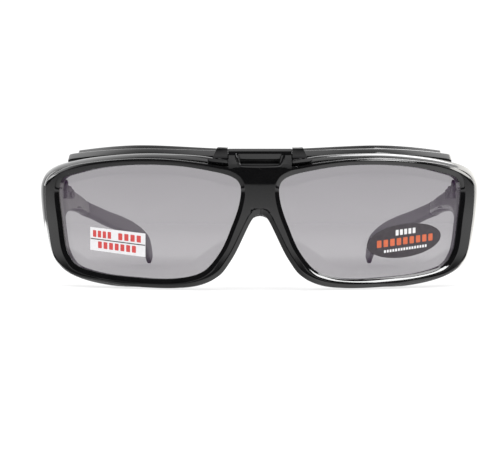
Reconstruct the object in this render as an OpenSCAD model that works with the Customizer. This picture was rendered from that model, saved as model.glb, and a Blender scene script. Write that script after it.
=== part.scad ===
// Flip-up sunglasses worn over ordinary glasses.
// A base frame with folding temples carries a pin above the bridge, and the
// lens frame swings up about that pin.
// Millimetres. +X is the wearer's left, +Y runs back to the ears, +Z is up.
// The base frame's rims and the temple tips stand on z = 0.

/* [Lens frame] */
// Width across the lens frame
front_width = 146.7; // [144:0.1:149]
// Height of the lens frame
front_height = 41.6; // [41:0.1:42]
// Width of each lens opening
lens_width = 61.9; // [61:0.1:62.4]
// Height of each lens opening
lens_height = 36.6; // [36:0.1:36.8]
// Half of the distance between the two lens openings
half_bridge = 6.05; // [5.8:0.05:6.4]
// Radius of the wrap round the face, seen from above
wrap_radius = 134; // [128:1:145]
// Thickness of the lens frame
front_thick = 4.0; // [3.7:0.1:4.1]
// Thickness of a lens
lens_thick = 1.6; // [1.2:0.1:1.7]
// Depth of the lens groove
groove = 1.0; // [0.8:0.05:1.1]

/* [Base frame] */
// Width across the base frame
base_width = 155.6; // [153:0.1:158]
// Height of the base frame's rim
base_height = 44.1; // [43.8:0.1:44.4]
// Thickness of the base frame's rim
base_thick = 4.6; // [4:0.1:5]
// How far the brow shelf reaches behind the rim
brow_reach = 9; // [6:0.5:10]
// Length of the nose wings behind the rim
wing_reach = 10; // [6:0.5:12]

/* [Flip hinge] */
// Height of the flip hinge's axis
pin_z = 42.3; // [42.2:0.05:42.4]
// Distance of the axis behind the bridge's front
pin_back = 2.9; // [2.8:0.05:3]
// Radius of the barrel
barrel_r = 2.4; // [2.3:0.05:2.5]
// Radius of the pin
pin_r = 0.8; // [0.7:0.05:0.85]
// Width of the lens frame's barrel
barrel_width = 19.8; // [19:0.1:20]

/* [Temples] */
// Distance from the bridge's front to the temple tips
overall_depth = 161.6; // [158:0.1:165]
// Distance from the bridge's front to the temple joint
joint_back = 37.1; // [36.8:0.05:37.3]
// Half of the distance between the temple hinge axes
hinge_half = 70.2; // [70:0.05:70.4]
// Height of the temple hinge's lower end
hinge_z = 30; // [29.5:0.1:30.2]
// Distance from the bridge's front to the soft sleeve
sleeve_back = 57; // [54:0.5:62]

/* [Labels] */
// Width of the square label
label_width = 20.4; // [16:0.1:21]
// Height of the square label
label_height = 7.6; // [6:0.1:9]
// Width of the oval label
oval_width = 27.4; // [20:0.1:29]
// Height of the oval label
oval_height = 10.8; // [9:0.1:12]

/* [Hidden] */
// Which node to draw
$fn = 96;
fit = 0.02;
gap = 0.3;
front_bottom = 0.3;
base_sink = 0.3;
base_front = front_thick + 0.4;
base_rear = base_front + base_thick;
lens_front = 1.3;
lens_rear = lens_front + lens_thick;
knuckle_r = 1.4;
knuckle_h = 1.85;
leaf_h = 6;
leaf_t = 0.8;
screw_r = 0.6;
rivet_r = 0.7;
lean = 16.9;
wall = 0.73;

// Colours
black = [0.06, 0.06, 0.065];
soft = [0.1, 0.1, 0.105];
smoke = [0.35, 0.35, 0.37, 0.55];
steel = [0.7, 0.7, 0.72];
paper = [0.95, 0.94, 0.93];
ink = [0.2, 0.17, 0.2];

// Outlines as fractions of width and height. Each runs from the top of the
// bridge round the wearer's left side to the bottom of the nose notch.
front_shape = [[0, 0.922], [0.137, 0.926], [0.253, 0.959], [0.411, 0.991],
    [0.573, 1], [0.745, 0.986], [0.865, 0.961], [0.949, 0.91], [0.992, 0.844],
    [1, 0.756], [0.995, 0.595], [0.982, 0.446], [0.964, 0.285], [0.937, 0.184],
    [0.882, 0.111], [0.81, 0.064], [0.686, 0.033], [0.573, 0.009], [0.411, 0],
    [0.305, 0.014], [0.226, 0.051], [0.17, 0.11], [0.131, 0.2], [0.098, 0.299],
    [0.047, 0.487], [0.025, 0.543], [0, 0.563]];
base_shape = [[0, 0.937], [0.144, 0.946], [0.246, 0.974], [0.399, 0.994],
    [0.531, 1], [0.668, 0.991], [0.783, 0.974], [0.895, 0.942], [0.958, 0.894],
    [0.99, 0.825], [1, 0.747], [0.993, 0.591], [0.977, 0.426], [0.953, 0.268],
    [0.926, 0.184], [0.883, 0.121], [0.815, 0.069], [0.716, 0.028],
    [0.593, 0.004], [0.444, 0], [0.333, 0.004], [0.247, 0.028], [0.18, 0.084],
    [0.138, 0.171], [0.106, 0.275], [0.057, 0.452], [0.03, 0.513], [0, 0.532]];
// The lens opening, as fractions of its own width and height
lens_shape = [[0.141, 0.929], [0.327, 0.982], [0.552, 1], [0.752, 0.982],
    [0.895, 0.942], [0.973, 0.905], [1, 0.825], [1, 0.704], [0.984, 0.518],
    [0.969, 0.335], [0.95, 0.22], [0.91, 0.126], [0.851, 0.076], [0.718, 0.031],
    [0.553, 0.008], [0.391, 0], [0.265, 0.024], [0.175, 0.092], [0.098, 0.259],
    [0.053, 0.432], [0.016, 0.602], [0, 0.749], [0.011, 0.835], [0.053, 0.888]];
// Brow edge: distance from the middle, and height of the lower and upper step
brow_shape = [[0, 44.15, 45.2], [17, 44.95, 46.1], [37.5, 45.95, 47.5],
    [50, 46.05, 47.6], [64.2, 45.5, 46.9], [66.9, 45, 46.6]];
// Temple seen from above: distance back, inner face, outer face
temple_plan = [[20, 76, 84], [37.3, 70.9, 76.4], [46.5, 68.1, 73],
    [57, 65.4, 69.6], [90, 62, 65.5], [120, 58.8, 62.1], [150, 55.6, 58.6],
    [163, 54.2, 57]];
// Temple seen from the side: top edge going back, then lower edge coming forward
temple_side = [[30, 36.8], [37.3, 36.3], [45, 33.6], [57, 29.45], [70, 27.7],
    [85, 26.05], [103, 24.3], [121, 22.1], [138, 18.9], [148, 16.2], [154, 13.5],
    [158.4, 10], [160.8, 6.4], [161.6, 3.2], [160.9, 0.7], [158.3, 0.2],
    [155.2, 2.6], [151.5, 5.6], [146, 8.9], [132, 13], [115, 16.35], [97, 18.6],
    [80, 20.9], [68, 22.8], [57, 24.25], [50, 25.4], [45, 25.6], [41, 24.6],
    [39, 22], [38, 18.2], [37.3, 14.8], [30, 13.5]];

// Smooth curves
function cr(a, b, c, d, t) = 0.5 * (2 * b + (c - a) * t
    + (2 * a - 5 * b + 4 * c - d) * t * t
    + (3 * b - a - 3 * c + d) * t * t * t);
function closed(p, n) = let (m = len(p)) [for (i = [0:m - 1]) for (j = [0:n - 1])
    cr(p[(i + m - 1) % m], p[i], p[(i + 1) % m], p[(i + 2) % m], j / n)];
function open(p, n) = let (m = len(p)) concat([for (i = [0:m - 2])
    for (j = [0:n - 1]) cr(p[max(i - 1, 0)], p[i], p[i + 1],
    p[min(i + 2, m - 1)], j / n)], [p[m - 1]]);
function both_sides(h) = concat(h, [for (i = [len(h) - 2:-1:1]) [-h[i][0], h[i][1]]]);
// Moves a clockwise loop outwards by d
function grow(p, d) = let (m = len(p)) [for (i = [0:m - 1])
    let (t = p[(i + 1) % m] - p[(i + m - 1) % m], l = norm(t))
    p[i] + d * [-t[1], t[0]] / l];

front_loop = closed(both_sides([for (p = front_shape)
    [p[0] * front_width / 2, front_bottom + p[1] * front_height]]), 4);
base_loop = closed(both_sides([for (p = base_shape) [p[0] * base_width / 2,
    -base_sink + p[1] * (base_height + base_sink)]]), 4);
lens_loop = closed([for (p = lens_shape) [half_bridge + p[0] * lens_width,
    front_bottom + 3 + p[1] * lens_height]], 4);
brow_low = open([for (p = brow_shape) [p[0], p[1]]], 5);
brow_high = open([for (i = [0:len(brow_shape) - 2])
    [brow_shape[i][0], brow_shape[i][2]]], 5);

// A flat outline in X and Z turned into a wrapped sheet between two set-backs
module wrapped(s1, s2) {
    intersection() {
        translate([0, 70, 0])
            rotate([90, 0, 0])
            linear_extrude(74)
            children();
        translate([0, wrap_radius, -4])
            difference() {
                cylinder(r = wrap_radius - s1, h = 60, $fn = 256);
                translate([0, 0, -1])
                    cylinder(r = wrap_radius - s2, h = 62, $fn = 256);
            }
    }
}

module side(s) {
    mirror([s > 0 ? 0 : 1, 0, 0])
        children();
}

module opening(s1, s2, extra) {
    for (s = [-1, 1])
        side(s)
            wrapped(s1, s2)
            polygon(grow(lens_loop, extra));
}

module along_x(r, w) {
    translate([-w / 2, pin_back, pin_z])
        rotate([0, 90, 0])
        cylinder(r = r, h = w);
}

// Everything is drawn with the bridge's front at y = 0, then centred
module placed() {
    translate([0, -overall_depth / 2, 0])
        children();
}

// Lens frame
module flip_block() {
    along_x(barrel_r, barrel_width);
    translate([-barrel_width / 2, 0.5, front_bottom + 38])
        cube([barrel_width, 3.5, pin_z - front_bottom - 38]);
}

module flip_block_cuts() {
    recess = [[-6.2, 39.8], [6.2, 39.8], [7, 42.9], [-7, 42.9]];
    along_x(pin_r + 0.05, 40);
    translate([0, 1.4, 0])
        rotate([90, 0, 0])
        linear_extrude(4)
        polygon(recess);
    // Spring chamber below the pin, and the grooves that hold the leaf's ends
    translate([-5.2, 1, 39.95])
        cube([10.4, 2.5, 1.75]);
    translate([-6.3, 1.6, 41.3])
        cube([12.6, 1.9, 0.4]);
    translate([-3.4, 2.05, 41.5])
        cube([6.8, 1.7, 0.8]);
}

module flip_frame() {
    valley = [[-9.6, 38.4], [9.6, 38.4], [4.6, 33.9], [-4.6, 33.9]];
    color(black)
        placed()
        difference() {
            union() {
                wrapped(1.1, front_thick)
                    polygon(front_loop);
                wrapped(0.5, front_thick - 0.5)
                    polygon(grow(front_loop, -0.7));
                intersection() {
                    opening(0, front_thick - 0.6, 1.2);
                    wrapped(-0.5, front_thick - 0.5)
                        polygon(grow(front_loop, -0.6));
                }
                flip_block();
            }
            opening(-1, front_thick + 1, 0);
            opening(-1, 0.5, 0.4);
            opening(lens_front - 0.05, lens_rear + 0.05, groove);
            wrapped(-1, 0.9)
                polygon(valley);
            flip_block_cuts();
        }
}

module lens(s) {
    color(smoke)
        placed()
        side(s)
        wrapped(lens_front, lens_rear)
        polygon(grow(lens_loop, groove - 0.05));
}

module lens_left() {
    lens(1);
}

module lens_right() {
    lens(-1);
}

// A press-fitted pin with a squared middle for the detent
module hinge_pin() {
    flat = 0.75 * pin_r;
    color(steel)
        placed()
        difference() {
            along_x(pin_r, 26);
            for (a = [0:90:270])
                translate([0, pin_back, pin_z])
                    rotate([a, 0, 0])
                    translate([-6.6, -2, flat])
                    cube([13.2, 4, 2]);
        }
}

module detent_spring() {
    color(steel)
        placed()
        translate([-6.2, 1.7, pin_z - 0.75 * pin_r - 0.35])
        cube([12.4, 1.7, 0.3]);
}

// Base frame
module brow(edge, s1, s2, low) {
    top = [for (i = [len(edge) - 1:-1:0]) [-edge[i][0], edge[i][1]]];
    over = [for (i = [1:len(edge) - 1]) edge[i]];
    bottom = [for (i = [len(edge) - 1:-1:0]) [edge[i][0], edge[i][1] - low]];
    under = [for (i = [1:len(edge) - 1]) [-edge[i][0], edge[i][1] - low]];
    wrapped(s1, s2)
        polygon(concat(top, over, bottom, under));
}

module ear(s) {
    front = [[10.2, 38.9], [16.6, 38.9], [15.3, 41.7], [13.8, 45.1], [10.2, 45.1]];
    side(s)
        intersection() {
            translate([0, 20, 0])
                rotate([90, 0, 0])
                linear_extrude(22)
                polygon(front);
            union() {
                along_x(barrel_r, 40);
                // Foot round the pin, thinner where the front's top edge rises
                intersection() {
                    translate([10.2, pin_back, pin_z])
                        rotate([0, 90, 0])
                        cylinder(r1 = 3.25, r2 = 2.4, h = 5.6);
                    translate([0, 0.5, 38])
                        cube([20, 10, 3.4]);
                }
                translate([0, 1.7, pin_z])
                    cube([20, 9.5, 2.8]);
                translate([0, 0.9, pin_z])
                    cube([20, 3, 2]);
                translate([0, pin_back, pin_z - 2.3])
                    cube([20, 8, 3]);
            }
        }
}

module end_piece(s) {
    side(s)
        intersection() {
            wrapped(base_front + 3.4, 30)
                polygon(base_loop);
            translate([hinge_half + 0.7, 20, 14.5])
                cube([20, joint_back - 20.1, 23.8]);
        }
}

module nose_wings() {
    wrapped(base_rear - 0.5, base_rear + wing_reach)
        intersection() {
            difference() {
                polygon(base_loop);
                polygon(grow(base_loop, -1.8));
            }
            translate([-13, 3.2])
                square([26, 23]);
        }
}

module hinge_seat(s) {
    side(s)
        translate([hinge_half, joint_back, hinge_z - 0.3])
        cylinder(r = knuckle_r + 0.35, h = leaf_h + 1.3);
}

module base_frame() {
    color(black)
        placed()
        difference() {
            union() {
                wrapped(base_front, base_rear)
                    polygon(grow(base_loop, -1.9));
                wrapped(base_front + 0.9, base_rear)
                    polygon(grow(base_loop, -1.05));
                wrapped(base_front + 2.1, base_rear)
                    polygon(grow(base_loop, -0.4));
                wrapped(base_front + 3.4, base_rear)
                    polygon(base_loop);
                brow(brow_low, base_rear - 0.5, base_rear + 3.5, 3);
                brow(brow_high, base_rear + 3.2, base_rear + brow_reach, 2.6);
                nose_wings();
                for (s = [-1, 1])
                    ear(s);
                for (s = [-1, 1])
                    end_piece(s);
            }
            opening(-1, base_rear + 6, groove);
            // Room for the lens frame's barrel
            translate([-barrel_width / 2 - gap, -1, 37.8])
                cube([barrel_width + 2 * gap, pin_back + barrel_r + 1.4, 20]);
            along_x(pin_r - 0.02, 26.4);
            for (s = [-1, 1]) {
                hinge_seat(s);
                front_rivets(s, fit);
            }
            // The rims stand on a flat land
            translate([-100, -5, -5])
                cube([200, 60, 5]);
        }
}

// Temples
module temple_shape(inset) {
    inner = open([for (p = temple_plan) [p[1], p[0]]], 4);
    outer = open([for (p = temple_plan) [p[2], p[0]]], 4);
    last = len(inner) - 1;
    plan = concat([for (p = outer) p - [inset, 0]],
        [for (i = [last:-1:0]) inner[i] + [inset, 0]]);
    intersection() {
        linear_extrude(40)
            polygon(plan);
        translate([50, 0, 0])
            rotate([90, 0, 90])
            linear_extrude(40)
            polygon(grow(closed(temple_side, 4), -1.2 * inset));
    }
}

module tongue(extra) {
    intersection() {
        temple_shape(1 - extra);
        translate([40, sleeve_back - 3, 0])
            cube([60, 90 + extra, 40]);
    }
}

module temple(s) {
    color(black)
        placed()
        side(s)
        difference() {
            union() {
                intersection() {
                    temple_shape(0);
                    translate([40, joint_back + 0.2, 0])
                        cube([60, sleeve_back - joint_back - 0.2, 50]);
                }
                tongue(0);
            }
            hinge_seat(1);
            // Flat seat for the hinge leaf
            translate([hinge_half, joint_back, hinge_z - 0.1])
                rotate([0, 0, lean])
                translate([-4, -2, 0])
                cube([4 + wall + fit, 9.2, leaf_h + 0.2]);
            rear_rivets(fit);
        }
}

module temple_left() {
    temple(1);
}

module temple_right() {
    temple(-1);
}

module temple_sleeve(s) {
    color(soft)
        placed()
        side(s)
        difference() {
            intersection() {
                temple_shape(0);
                translate([40, sleeve_back + fit, 0])
                    cube([60, 120, 50]);
            }
            tongue(fit);
        }
}

module temple_sleeve_left() {
    temple_sleeve(1);
}

module temple_sleeve_right() {
    temple_sleeve(-1);
}

// Temple hinges
module knuckle(level, bore) {
    translate([0, 0, level])
        difference() {
            cylinder(r = knuckle_r, h = knuckle_h);
            translate([0, 0, -1])
                cylinder(r = bore, h = knuckle_h + 2);
        }
}

module hinge_front(s) {
    top = leaf_h - knuckle_h;
    color(steel)
        placed()
        side(s)
        difference() {
            union() {
                translate([hinge_half, joint_back, hinge_z]) {
                    cylinder(r = knuckle_r, h = knuckle_h);
                    translate([0, 0, top])
                        cylinder(r = knuckle_r, h = knuckle_h);
                    translate([-0.12, -5.8, 0])
                        cube([leaf_t, 3.9, leaf_h]);
                    for (level = [0, top])
                        translate([-0.12, -2, level])
                            cube([leaf_t, 2, knuckle_h]);
                }
            }
            translate([hinge_half, joint_back, hinge_z - 1])
                cylinder(r = screw_r - 0.02, h = 4);
            translate([hinge_half, joint_back, hinge_z + 3])
                cylinder(r = screw_r + 0.04, h = 5);
            front_rivets(1, fit);
        }
}

module temple_hinge_front_left() {
    hinge_front(1);
}

module temple_hinge_front_right() {
    hinge_front(-1);
}

module hinge_rear(s) {
    level = (leaf_h - knuckle_h) / 2;
    color(steel)
        placed()
        side(s)
        difference() {
            translate([hinge_half, joint_back, hinge_z])
                rotate([0, 0, lean]) {
                    translate([0, 0, level])
                        cylinder(r = knuckle_r, h = knuckle_h);
                    translate([wall - leaf_t, 0, level])
                        cube([leaf_t, 2.2, knuckle_h]);
                    translate([wall - leaf_t, 0, 0])
                        rotate([90, 0, 90])
                        linear_extrude(leaf_t)
                        polygon([[1.9, 0], [6.8, 0], [6.8, 3.1], [1.9, 5.2]]);
                }
            translate([hinge_half, joint_back, hinge_z])
                cylinder(r = screw_r + 0.05, h = leaf_h);
            rear_rivets(fit);
        }
}

module temple_hinge_rear_left() {
    hinge_rear(1);
}

module temple_hinge_rear_right() {
    hinge_rear(-1);
}

module temple_screw(s) {
    color(steel)
        placed()
        side(s)
        translate([hinge_half, joint_back, hinge_z])
        difference() {
            union() {
                cylinder(r = screw_r, h = leaf_h + 0.1);
                translate([0, 0, leaf_h])
                    cylinder(r = 1.15, h = 0.6);
            }
            translate([-2, -0.15, leaf_h + 0.3])
                cube([4, 0.3, 1]);
        }
}

module temple_screw_left() {
    temple_screw(1);
}

module temple_screw_right() {
    temple_screw(-1);
}

// A rivet lies along X with its head on the inner side
module rivet(head, shank, extra) {
    rotate([0, 90, 0]) {
        translate([0, 0, -0.45])
            cylinder(r = head, h = 0.45);
        translate([0, 0, -0.1])
            cylinder(r = rivet_r + extra, h = shank + extra);
    }
}

module front_rivets(s, extra) {
    side(s)
        for (level = [1.5, 4.5])
            translate([hinge_half - 0.12, joint_back - 3.9, hinge_z + level])
                rivet(extra > 0 ? rivet_r : 1.15, 3.4, extra);
}

module rear_rivets(extra) {
    translate([hinge_half, joint_back, hinge_z])
        rotate([0, 0, lean])
        for (at = [[3.3, 3.4], [5.4, 1.5]])
            translate([wall - leaf_t, at[0], at[1]])
                rivet(extra > 0 ? rivet_r : 1.15, 3.2, extra);
}

module front_leaf_rivets_left() {
    color(steel)
        placed()
        front_rivets(1, 0);
}

module front_leaf_rivets_right() {
    color(steel)
        placed()
        front_rivets(-1, 0);
}

module rear_leaf_rivets_left() {
    color(steel)
        placed()
        rear_rivets(0);
}

module rear_leaf_rivets_right() {
    color(steel)
        placed()
        side(-1)
        rear_rivets(0);
}

// Labels stuck on the lenses. Their level lines slope and their sides stay upright.
function sloped(points, slope) = [for (p = points) [p[0], p[1] + p[0] * slope]];

module label_left() {
    // The wrap makes a label look narrower from the front
    x = oval_width * 0.47;
    oval = [for (i = [0:71]) [cos(5 * i) * x, sin(5 * i) * oval_height / 2]];
    color(ink)
        placed()
        wrapped(lens_front - 0.17, lens_front - fit)
        translate([47.2, 15.4])
        polygon(sloped(oval, tan(7)));
}

module label_right() {
    x = label_width * 0.47;
    z = label_height / 2;
    color(paper)
        placed()
        wrapped(lens_front - 0.17, lens_front - fit)
        translate([-46.35, 15])
        polygon(sloped([[-x, -z], [x, -z], [x, z], [-x, z]], -tan(6.4)));
}

base_frame();
flip_frame();
lens_left();
lens_right();
hinge_pin();
detent_spring();
temple_left();
temple_right();
temple_sleeve_left();
temple_sleeve_right();
temple_hinge_front_left();
temple_hinge_front_right();
temple_hinge_rear_left();
temple_hinge_rear_right();
temple_screw_left();
temple_screw_right();
front_leaf_rivets_left();
front_leaf_rivets_right();
rear_leaf_rivets_left();
rear_leaf_rivets_right();
label_left();
label_right();
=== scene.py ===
"""Looks for the flip-up over-glasses sunglasses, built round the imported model."""

import math

import bpy
import bmesh
import numpy as np
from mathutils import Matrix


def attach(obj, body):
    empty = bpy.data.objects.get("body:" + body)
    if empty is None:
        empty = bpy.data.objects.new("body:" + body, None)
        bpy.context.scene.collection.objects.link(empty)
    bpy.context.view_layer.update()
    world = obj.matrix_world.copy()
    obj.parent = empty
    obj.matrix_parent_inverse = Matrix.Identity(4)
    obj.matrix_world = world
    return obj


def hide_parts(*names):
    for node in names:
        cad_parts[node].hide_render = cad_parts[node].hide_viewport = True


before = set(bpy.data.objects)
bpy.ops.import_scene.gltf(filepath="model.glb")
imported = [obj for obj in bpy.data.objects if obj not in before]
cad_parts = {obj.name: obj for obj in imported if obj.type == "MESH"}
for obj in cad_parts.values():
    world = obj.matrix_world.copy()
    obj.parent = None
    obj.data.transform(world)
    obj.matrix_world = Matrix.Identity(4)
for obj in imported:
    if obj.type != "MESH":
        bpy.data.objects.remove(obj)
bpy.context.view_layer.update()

# ---------------------------------------------------------------------------
# Design sizes in millimetres. They are part.scad's, apart from details that are
# drawn only here. Shapes are drawn with the bridge's front at depth 0 and moved
# into the row frame by place(). A set-back is a distance behind the wrapped front.
# ---------------------------------------------------------------------------
WRAP = 134.0
FRONT_WIDTH = 146.7
FRONT_HEIGHT = 41.6
FRONT_BOTTOM = 0.3
FRONT_THICK = 4.0
LENS_WIDTH = 61.9
LENS_HEIGHT = 36.6
# Set-backs of the lens's two faces, and how far its edge goes into the groove
LENS_FRONT, LENS_REAR = 1.3, 2.9
GROOVE = 0.95
# Set-backs of a label's two faces, and of what is printed on it
LABEL_FRONT, LABEL_REAR = 1.16, 1.28
PRINT_FRONT, PRINT_REAR = 1.13, 1.17
HALF_BRIDGE = 6.05
BASE_WIDTH = 155.6
BASE_HEIGHT = 44.1
BASE_SINK = 0.3
BASE_FRONT = 4.4
BASE_REAR = 9.0
DEPTH = 161.6
PIN_Z = 42.3
PIN_BACK = 2.9
BARREL_R = 2.4
BARREL_HALF = 9.9
# Half width of the recess in the barrel block
RECESS_HALF = 6.9
# Set-back of the block's and the ears' front faces
FACE = 0.62
# The ears: where they start and end from the middle, and their lower and upper level
EAR_INNER, EAR_OUTER = 10.15, 17.0
EAR_LOW, EAR_HIGH = 41.45, 45.05
# Half of the distance between the temple hinge axes
HINGE_HALF = 70.2
JOINT_BACK = 37.1
SLEEVE_BACK = 57.0

# Outlines as shares of the width and the height, from the bridge round the left side
FRONT_SHAPE = [
    (0, 0.922), (0.137, 0.926), (0.253, 0.959), (0.411, 0.991), (0.573, 1),
    (0.745, 0.986), (0.865, 0.961), (0.949, 0.91), (0.992, 0.844), (1, 0.756),
    (0.995, 0.595), (0.982, 0.446), (0.964, 0.285), (0.937, 0.184), (0.882, 0.111),
    (0.81, 0.064), (0.686, 0.033), (0.573, 0.009), (0.411, 0), (0.305, 0.014),
    (0.226, 0.051), (0.17, 0.11), (0.131, 0.2), (0.098, 0.299), (0.047, 0.487),
    (0.025, 0.543), (0, 0.563),
]
BASE_SHAPE = [
    (0, 0.937), (0.144, 0.946), (0.246, 0.974), (0.399, 0.994), (0.531, 1),
    (0.668, 0.991), (0.783, 0.974), (0.895, 0.942), (0.958, 0.894), (0.99, 0.825),
    (1, 0.747), (0.993, 0.591), (0.977, 0.426), (0.953, 0.268), (0.926, 0.184),
    (0.883, 0.121), (0.815, 0.069), (0.716, 0.028), (0.593, 0.004), (0.444, 0),
    (0.333, 0.004), (0.247, 0.028), (0.18, 0.084), (0.138, 0.171), (0.106, 0.275),
    (0.057, 0.452), (0.03, 0.513), (0, 0.532),
]
LENS_SHAPE = [
    (0.141, 0.929), (0.327, 0.982), (0.552, 1), (0.752, 0.982), (0.895, 0.942),
    (0.973, 0.905), (1, 0.825), (1, 0.704), (0.984, 0.518), (0.969, 0.335),
    (0.95, 0.22), (0.91, 0.126), (0.851, 0.076), (0.718, 0.031), (0.553, 0.008),
    (0.391, 0), (0.265, 0.024), (0.175, 0.092), (0.098, 0.259), (0.053, 0.432),
    (0.016, 0.602), (0, 0.749), (0.011, 0.835), (0.053, 0.888),
]
# Top edges of the two brow steps: distance from the middle and height
BROW_LOW = [(0, 44.15), (17, 44.95), (37.5, 45.95), (50, 46.05), (64.2, 45.5),
            (66.9, 45.0)]
BROW_HIGH = [(0, 45.2), (17, 46.1), (37.5, 47.5), (50, 47.6), (64.2, 46.9)]
# Temple sections: back and up of the top edge, back and up of the lower edge
TEMPLE = [
    (37.3, 36.3, 37.3, 14.8), (38.4, 35.9, 38.0, 18.6), (39.6, 35.5, 39.2, 22.2),
    (41.6, 34.8, 41.2, 24.6), (45, 33.6, 45, 25.55), (50.5, 31.6, 50.5, 25.3),
    (57, 29.45, 57, 24.25), (63, 28.5, 62.5, 23.5), (70, 27.7, 69, 22.65),
    (78, 26.8, 77, 21.4), (87, 25.85, 85.5, 20.05), (96, 25.0, 94.5, 18.9),
    (105, 24.1, 103, 17.9), (114, 23.0, 111.5, 16.8), (122, 21.95, 119, 15.7),
    (130, 20.5, 126, 14.35), (138, 18.9, 133, 12.7), (145.5, 16.9, 140, 10.9),
    (151.5, 14.8, 146, 8.9), (156, 12.1, 150.6, 6.2), (159, 9.3, 153.6, 4.0),
    (160.8, 6.4, 155.6, 2.3), (161.4, 4.3, 157.2, 1.0),
]
# The temples seen from above: back and distance from the middle of each face
TEMPLE_INNER = [(37.3, 70.9), (46.5, 68.1), (57, 65.4), (90, 62), (120, 58.8),
                (150, 55.6), (163, 54.2)]
TEMPLE_OUTER = [(37.3, 76.4), (46.5, 73), (57, 69.6), (90, 65.5), (120, 62.1),
                (150, 58.6), (163, 57)]


# ---------------------------------------------------------------------------
# Curves and small helpers
# ---------------------------------------------------------------------------
def spline_point(a, b, c, d, t):
    """A point between b and c on a smooth curve through a, b, c and d."""
    return 0.5 * (2 * b + (c - a) * t + (2 * a - 5 * b + 4 * c - d) * t * t
                  + (3 * b - a - 3 * c + d) * t ** 3)


def closed_curve(points, n):
    """A smooth closed curve with n steps between two points."""
    p = np.array(points, float)
    m = len(p)
    return np.array([spline_point(p[i - 1], p[i], p[(i + 1) % m], p[(i + 2) % m], j / n)
                     for i in range(m) for j in range(n)])


def open_curve(points, n):
    """A smooth open curve with n steps between two points."""
    p = np.array(points, float)
    m = len(p)
    out = [spline_point(p[max(i - 1, 0)], p[i], p[i + 1], p[min(i + 2, m - 1)], j / n)
           for i in range(m - 1) for j in range(n)]
    return np.array(out + [p[-1]])


def both_sides(half):
    """Half an outline and its mirror image, as one closed outline."""
    return half + [(-x, z) for x, z in reversed(half[1:-1])]


def grow(loop, d):
    """Moves a clockwise outline outwards by d."""
    t = np.roll(loop, -1, 0) - np.roll(loop, 1, 0)
    t /= np.linalg.norm(t, axis=1)[:, None]
    return loop + d * np.stack([-t[:, 1], t[:, 0]], 1)


def fraction(v, low, high):
    """How far v is on its way from low to high, from 0 to 1."""
    return np.clip((v - low) / (high - low), 0, 1)


def smooth(v, low, high):
    """The same with a soft start and end."""
    t = fraction(v, low, high)
    return t * t * (3 - 2 * t)


def wrap_depth(s, x):
    """Depth of a surface set back by s from the front, at distance x from the middle."""
    return WRAP - np.sqrt((WRAP - s) ** 2 - np.asarray(x) ** 2)


def place(points):
    """Design millimetres to metres in the row frame."""
    p = np.array(points, float).reshape(-1, 3)
    return (p - np.array([0, DEPTH / 2, 0])) * 0.001


def distance(points, loop):
    """Distance from each point to a closed polyline."""
    a, b = loop, np.roll(loop, -1, 0)
    ab = b - a
    out = np.full(len(points), 1e9)
    for start in range(0, len(points), 2000):
        p = points[start:start + 2000, None, :]
        t = np.clip(((p - a) * ab).sum(2) / (ab * ab).sum(1), 0, 1)
        near = a + t[:, :, None] * ab
        out[start:start + 2000] = np.linalg.norm(p - near, axis=2).min(1)
    return out


FRONT_LOOP = closed_curve(both_sides([(x * FRONT_WIDTH / 2, FRONT_BOTTOM + z * FRONT_HEIGHT)
                                      for x, z in FRONT_SHAPE]), 6)
BASE_LOOP = closed_curve(both_sides([(x * BASE_WIDTH / 2,
                                      -BASE_SINK + z * (BASE_HEIGHT + BASE_SINK))
                                     for x, z in BASE_SHAPE]), 6)
LENS_LOOP = closed_curve([(HALF_BRIDGE + x * LENS_WIDTH, FRONT_BOTTOM + 3 + z * LENS_HEIGHT)
                          for x, z in LENS_SHAPE], 6)


def make_object(name, verts, faces, body, material, node=None, smooth_angle=40):
    """A finished piece on a body, that may take a CAD node's place."""
    mesh = bpy.data.meshes.new(name)
    mesh.from_pydata([tuple(v) for v in verts], [], faces)
    mesh.validate()
    bm = bmesh.new()
    bm.from_mesh(mesh)
    bmesh.ops.remove_doubles(bm, verts=bm.verts, dist=2e-6)
    bmesh.ops.recalc_face_normals(bm, faces=bm.faces)
    bm.to_mesh(mesh)
    bm.free()
    obj = bpy.data.objects.new(name, mesh)
    bpy.context.scene.collection.objects.link(obj)
    mesh.materials.append(material)
    shade(mesh, smooth_angle)
    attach(obj, body)
    if node:
        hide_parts(node)
    return obj


def shade(mesh, angle):
    """Smooth shading, with edges sharper than the angle kept sharp."""
    mesh.polygons.foreach_set("use_smooth", [True] * len(mesh.polygons))
    bm = bmesh.new()
    bm.from_mesh(mesh)
    for e in bm.edges:
        e.smooth = len(e.link_faces) == 2 and e.calc_face_angle(0) < math.radians(angle)
    bm.to_mesh(mesh)
    bm.free()


# ---------------------------------------------------------------------------
# Materials
# ---------------------------------------------------------------------------
def new_material(name):
    """A material with its nodes and links."""
    m = bpy.data.materials.new(name)
    m.use_nodes = True
    return m, m.node_tree.nodes, m.node_tree.links


BUMP_DEPTH = 0.0001


def bump_noise(nodes, links, scale, strength, detail=3.0):
    """Fine noise that bumps the surface. The noise is returned for the ramps."""
    coords = nodes.new("ShaderNodeTexCoord")
    noise = nodes.new("ShaderNodeTexNoise")
    noise.inputs["Scale"].default_value = scale
    noise.inputs["Detail"].default_value = detail
    bump = nodes.new("ShaderNodeBump")
    bump.inputs["Strength"].default_value = strength
    bump.inputs["Distance"].default_value = BUMP_DEPTH
    links.new(coords.outputs["Object"], noise.inputs["Vector"])
    links.new(noise.outputs["Fac"], bump.inputs["Height"])
    links.new(bump.outputs["Normal"], nodes["Principled BSDF"].inputs["Normal"])
    return noise


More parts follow.
